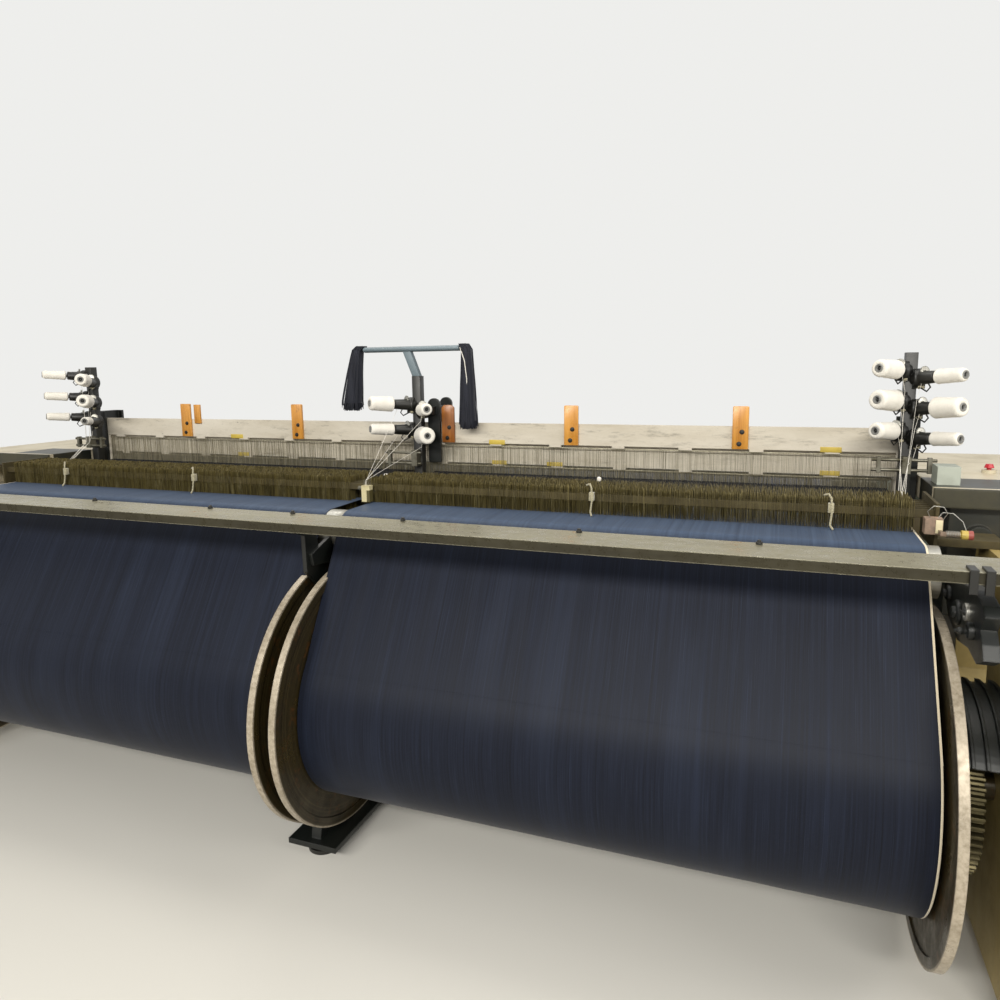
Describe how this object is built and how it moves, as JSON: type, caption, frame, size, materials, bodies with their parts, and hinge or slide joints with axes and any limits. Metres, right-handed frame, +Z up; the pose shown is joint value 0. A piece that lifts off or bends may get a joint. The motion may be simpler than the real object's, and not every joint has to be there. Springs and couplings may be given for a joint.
{
  "type": "power loom",
  "caption": "Wide projectile-type weaving machine with paired warp beams of indigo yarn, whip roll, drop wires, heald frames, sley, take-up and yarn creels.",
  "frame": {"origin": "on the floor under the warp beam axis, midway between the two beams", "axes": "+X along the machine to its right as seen from the warp side, +Y from the warp beams to the cloth roll, +Z up"},
  "size_m": [5.534, 2.224, 1.868],
  "materials": {
    "frame_paint": "old khaki enamel, oily and chipped",
    "teal_paint": "pale teal enamel",
    "dark_casting": "dark green-black casting, oily",
    "rail_zinc": "formed galvanised sheet, dusty",
    "black_steel": "black oxide",
    "bright_steel": "ground steel",
    "flange_paint": "brown primer with bare worn rims",
    "gear_steel": "greased steel teeth",
    "indigo_warp": "indigo denim warp yarn, dense and matt",
    "indigo_cloth": "loom-state denim",
    "drop_wire_steel": "thin steel strips under lint",
    "stave_aluminium": "off-white staves with lint smudges",
    "heddle_steel": "flat steel heddles",
    "wood": "varnished hardwood",
    "head_paint": "cream enamel over olive-grey sides",
    "cone_yarn": "white cotton yarn",
    "hanger_paint": "blue-grey enamel",
    "motor_paint": "blue-green enamel",
    "control_plastic": "grey-green moulding",
    "rubber": "flat belt rubber",
    "grip_rubber": "gritty take-up covering",
    "red_plastic": "moulded button",
    "green_plastic": "moulded button"
  },
  "bodies": {
    "loom_frame": {"left_side_frame": "frame_paint", "right_side_frame": "frame_paint", "centre_stand": "dark_casting", "cross_girders": "teal_paint", "rear_rail": "rail_zinc", "rail_clips": "black_steel", "levelling_feet": "black_steel", "breast_beam": "teal_paint", "warp_stop_bars": "bright_steel", "drop_wires": "drop_wire_steel", "heald_guides": "dark_casting", "left_head_case": "head_paint", "right_head_case": "head_paint", "left_creel_post": "black_steel", "centre_creel_post": "black_steel", "right_creel_post": "black_steel", "left_cones": "cone_yarn", "centre_cones": "cone_yarn", "right_cones": "cone_yarn", "yarn_hanger": "hanger_paint", "yarn_hanks": "indigo_cloth", "yarn_guides": "bright_steel", "temples": "bright_steel", "drive_motor": "motor_paint", "gear_guards": "dark_casting", "control_box": "control_plastic", "woven_cloth": "indigo_cloth", "left_warp_sheet": "indigo_warp", "right_warp_sheet": "indigo_warp", "upper_shed_sheet": "indigo_warp", "lower_shed_sheet": "indigo_warp", "drive_belt": "rubber"},
    "left_beam_set": {"left_beam": "flange_paint", "left_beam_yarn": "indigo_warp", "left_beam_gear": "gear_steel"},
    "right_beam_set": {"right_beam": "flange_paint", "right_beam_yarn": "indigo_warp", "right_beam_gear": "gear_steel"},
    "left_letoff": {"left_letoff_pinion": "gear_steel"},
    "right_letoff": {"right_letoff_pinion": "gear_steel"},
    "back_rest": {"back_rest_levers": "dark_casting"},
    "whip": {"whip_roll": "bright_steel"},
    "heald_set_1": {"heald_frame_1": "stave_aluminium", "heddles_1": "heddle_steel", "frame_blocks": "wood"},
    "heald_set_2": {"heald_frame_2": "stave_aluminium", "heddles_2": "heddle_steel"},
    "heald_set_3": {"heald_frame_3": "stave_aluminium", "heddles_3": "heddle_steel"},
    "heald_set_4": {"heald_frame_4": "stave_aluminium", "heddles_4": "heddle_steel"},
    "sley_set": {"sley": "teal_paint", "reed": "bright_steel"},
    "take_up": {"take_up_roll": "grip_rubber"},
    "press": {"press_roll": "bright_steel"},
    "cloth_winder": {"cloth_roll": "indigo_cloth"},
    "flywheel_set": {"flywheel": "motor_paint"},
    "motor_shaft": {"motor_pulley": "gear_steel"},
    "stop_knob": {"stop_button": "red_plastic"},
    "start_knob": {"start_button": "green_plastic"}
  },
  "joints": [
    {"name": "left_beam_turn", "type": "hinge", "parent": "loom_frame", "child": "left_beam_set", "pos_m": [-1, 0, 0.56], "axis": [1, 0, 0], "continuous": true},
    {"name": "right_beam_turn", "type": "hinge", "parent": "loom_frame", "child": "right_beam_set", "pos_m": [1, 0, 0.56], "axis": [1, 0, 0], "continuous": true},
    {"name": "left_letoff_turn", "type": "hinge", "parent": "loom_frame", "child": "left_letoff", "pos_m": [-2.05, 0.24271, 0.38366], "axis": [1, 0, 0], "continuous": true},
    {"name": "right_letoff_turn", "type": "hinge", "parent": "loom_frame", "child": "right_letoff", "pos_m": [2.05, 0.24271, 0.38366], "axis": [1, 0, 0], "continuous": true},
    {"name": "back_rest_swing", "type": "hinge", "parent": "loom_frame", "child": "back_rest", "pos_m": [0, -0.15, 1.11], "axis": [1, 0, 0], "range_deg": [-4, 4], "stiffness_Nm_per_rad": 60000, "deforming": ["left_warp_sheet", "right_warp_sheet"]},
    {"name": "whip_roll_turn", "type": "hinge", "parent": "back_rest", "child": "whip", "pos_m": [0, 0.02, 1.172], "axis": [1, 0, 0], "continuous": true},
    {"name": "heald_1_lift", "type": "slide", "parent": "loom_frame", "child": "heald_set_1", "axis": [0, 0, 1], "range_m": [-0.094, 0], "deforming": ["upper_shed_sheet"]},
    {"name": "heald_2_lift", "type": "slide", "parent": "loom_frame", "child": "heald_set_2", "axis": [0, 0, 1], "range_m": [0, 0.094], "deforming": ["lower_shed_sheet"]},
    {"name": "heald_3_lift", "type": "slide", "parent": "loom_frame", "child": "heald_set_3", "axis": [0, 0, 1], "range_m": [0, 0.094]},
    {"name": "heald_4_lift", "type": "slide", "parent": "loom_frame", "child": "heald_set_4", "axis": [0, 0, 1], "range_m": [0, 0.094]},
    {"name": "sley_swing", "type": "hinge", "parent": "loom_frame", "child": "sley_set", "pos_m": [0, 1.04, 1], "axis": [1, 0, 0], "range_deg": [-17, 0]},
    {"name": "cloth_roll_turn", "type": "hinge", "parent": "loom_frame", "child": "cloth_winder", "pos_m": [0, 1.4, 0.4], "axis": [1, 0, 0], "continuous": true},
    {"name": "take_up_turn", "type": "hinge", "parent": "loom_frame", "child": "take_up", "pos_m": [0, 1.33, 0.93], "axis": [1, 0, 0], "continuous": true},
    {"name": "press_roll_turn", "type": "hinge", "parent": "loom_frame", "child": "press", "pos_m": [0, 1.18996, 0.95469], "axis": [1, 0, 0], "continuous": true},
    {"name": "flywheel_turn", "type": "hinge", "parent": "loom_frame", "child": "flywheel_set", "pos_m": [-2.78, 1.05, 1.06], "axis": [1, 0, 0], "continuous": true},
    {"name": "motor_turn", "type": "hinge", "parent": "loom_frame", "child": "motor_shaft", "pos_m": [-2.78, 1.25, 0.33], "axis": [1, 0, 0], "continuous": true},
    {"name": "stop_button_press", "type": "slide", "parent": "loom_frame", "child": "stop_knob", "axis": [0, 0, 1], "range_m": [-0.006, 0], "stiffness_N_per_m": 900},
    {"name": "start_button_press", "type": "slide", "parent": "loom_frame", "child": "start_knob", "axis": [0, 1, 0], "range_m": [-0.004, 0], "stiffness_N_per_m": 700}
  ],
  "couplings": [
    {"joint": "left_letoff_turn", "follows": "left_beam_turn", "ratio": -4},
    {"joint": "right_letoff_turn", "follows": "right_beam_turn", "ratio": -4},
    {"joint": "take_up_turn", "follows": "cloth_roll_turn", "ratio": -2},
    {"joint": "press_roll_turn", "follows": "cloth_roll_turn", "ratio": 4.2},
    {"joint": "motor_turn", "follows": "flywheel_turn", "ratio": 3.5}
  ]
}
